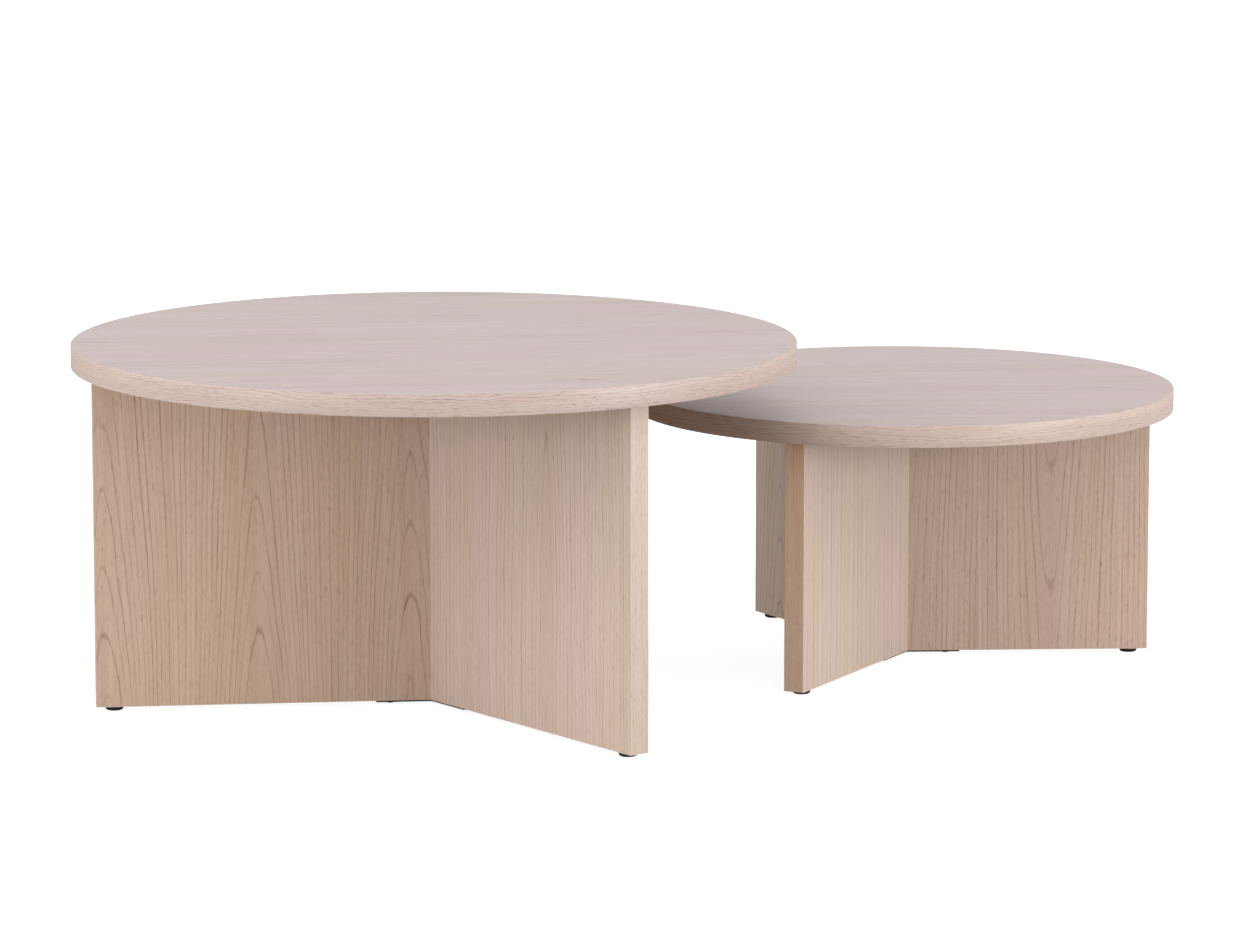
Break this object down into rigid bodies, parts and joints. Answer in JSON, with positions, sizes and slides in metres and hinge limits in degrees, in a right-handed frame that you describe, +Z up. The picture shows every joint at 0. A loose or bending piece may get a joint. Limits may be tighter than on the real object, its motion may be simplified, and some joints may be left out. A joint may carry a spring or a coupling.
{
  "type": "nesting tables",
  "caption": "Round nesting coffee tables in pale whitewashed wood veneer, each on a three-panel Y base; the low one slides in under the tall one.",
  "frame": {"origin": "on the floor, in the middle of the box round the two tables as they stand", "axes": "+Z up; +X from the tall table's single left-hand leg towards the open side between its other two legs"},
  "size_m": [1.4298, 1.048, 0.458],
  "materials": {
    "whitewashed_veneer": "thin white-pigmented matt lacquer over open-pored light oak veneer",
    "whitewashed_edging": "the same veneer as an edge band",
    "chipboard": "raw three-layer chipboard",
    "black_plate": "black powder coat",
    "black_screw": "black phosphated steel",
    "zinc_sleeve": "zinc-plated",
    "beech_dowel": "fluted beech, raw",
    "black_plastic": "moulded, fine satin",
    "steel_stud": "zinc-plated"
  },
  "bodies": {
    "large_table": {"large_top_core": "chipboard", "large_top_face_veneer": "whitewashed_veneer", "large_top_underside_veneer": "whitewashed_veneer", "large_top_edge_band": "whitewashed_edging", "large_left_leg_core": "chipboard", "large_left_leg_anticlockwise_veneer": "whitewashed_veneer", "large_left_leg_clockwise_veneer": "whitewashed_veneer", "large_left_leg_edge_bands": "whitewashed_edging", "large_front_leg_core": "chipboard", "large_front_leg_anticlockwise_veneer": "whitewashed_veneer", "large_front_leg_clockwise_veneer": "whitewashed_veneer", "large_front_leg_edge_bands": "whitewashed_edging", "large_back_leg_core": "chipboard", "large_back_leg_anticlockwise_veneer": "whitewashed_veneer", "large_back_leg_clockwise_veneer": "whitewashed_veneer", "large_back_leg_edge_bands": "whitewashed_edging", "large_lower_plate": "black_plate", "large_upper_plate": "black_plate", "large_lower_plate_screws": "black_screw", "large_upper_plate_screws": "black_screw", "large_top_screws": "black_screw", "large_leg_threaded_sleeves": "zinc_sleeve", "large_top_threaded_sleeves": "zinc_sleeve", "large_dowels": "beech_dowel"},
    "small_table": {"small_top_core": "chipboard", "small_top_face_veneer": "whitewashed_veneer", "small_top_underside_veneer": "whitewashed_veneer", "small_top_edge_band": "whitewashed_edging", "small_right_leg_core": "chipboard", "small_right_leg_anticlockwise_veneer": "whitewashed_veneer", "small_right_leg_clockwise_veneer": "whitewashed_veneer", "small_right_leg_edge_bands": "whitewashed_edging", "small_front_leg_core": "chipboard", "small_front_leg_anticlockwise_veneer": "whitewashed_veneer", "small_front_leg_clockwise_veneer": "whitewashed_veneer", "small_front_leg_edge_bands": "whitewashed_edging", "small_back_leg_core": "chipboard", "small_back_leg_anticlockwise_veneer": "whitewashed_veneer", "small_back_leg_clockwise_veneer": "whitewashed_veneer", "small_back_leg_edge_bands": "whitewashed_edging", "small_lower_plate": "black_plate", "small_upper_plate": "black_plate", "small_lower_plate_screws": "black_screw", "small_upper_plate_screws": "black_screw", "small_top_screws": "black_screw", "small_leg_threaded_sleeves": "zinc_sleeve", "small_top_threaded_sleeves": "zinc_sleeve", "small_dowels": "beech_dowel"},
    "large_left_foot": {"large_left_foot_pad": "black_plastic", "large_left_foot_stud": "steel_stud"},
    "large_front_foot": {"large_front_foot_pad": "black_plastic", "large_front_foot_stud": "steel_stud"},
    "large_back_foot": {"large_back_foot_pad": "black_plastic", "large_back_foot_stud": "steel_stud"},
    "small_right_foot": {"small_right_foot_pad": "black_plastic", "small_right_foot_stud": "steel_stud"},
    "small_front_foot": {"small_front_foot_pad": "black_plastic", "small_front_foot_stud": "steel_stud"},
    "small_back_foot": {"small_back_foot_pad": "black_plastic", "small_back_foot_stud": "steel_stud"}
  },
  "joints": [
    {"name": "nest_slide", "type": "slide", "parent": "large_table", "child": "small_table", "axis": [-0.6367, -0.7711, 0], "range_m": [-0.15, 0.322]},
    {"name": "large_left_foot_screw", "type": "slide", "parent": "large_table", "child": "large_left_foot", "axis": [0, 0, -1], "range_m": [0, 0.008]},
    {"name": "large_front_foot_screw", "type": "slide", "parent": "large_table", "child": "large_front_foot", "axis": [0, 0, -1], "range_m": [0, 0.008]},
    {"name": "large_back_foot_screw", "type": "slide", "parent": "large_table", "child": "large_back_foot", "axis": [0, 0, -1], "range_m": [0, 0.008]},
    {"name": "small_right_foot_screw", "type": "slide", "parent": "small_table", "child": "small_right_foot", "axis": [0, 0, -1], "range_m": [0, 0.008]},
    {"name": "small_front_foot_screw", "type": "slide", "parent": "small_table", "child": "small_front_foot", "axis": [0, 0, -1], "range_m": [0, 0.008]},
    {"name": "small_back_foot_screw", "type": "slide", "parent": "small_table", "child": "small_back_foot", "axis": [0, 0, -1], "range_m": [0, 0.008]}
  ]
}
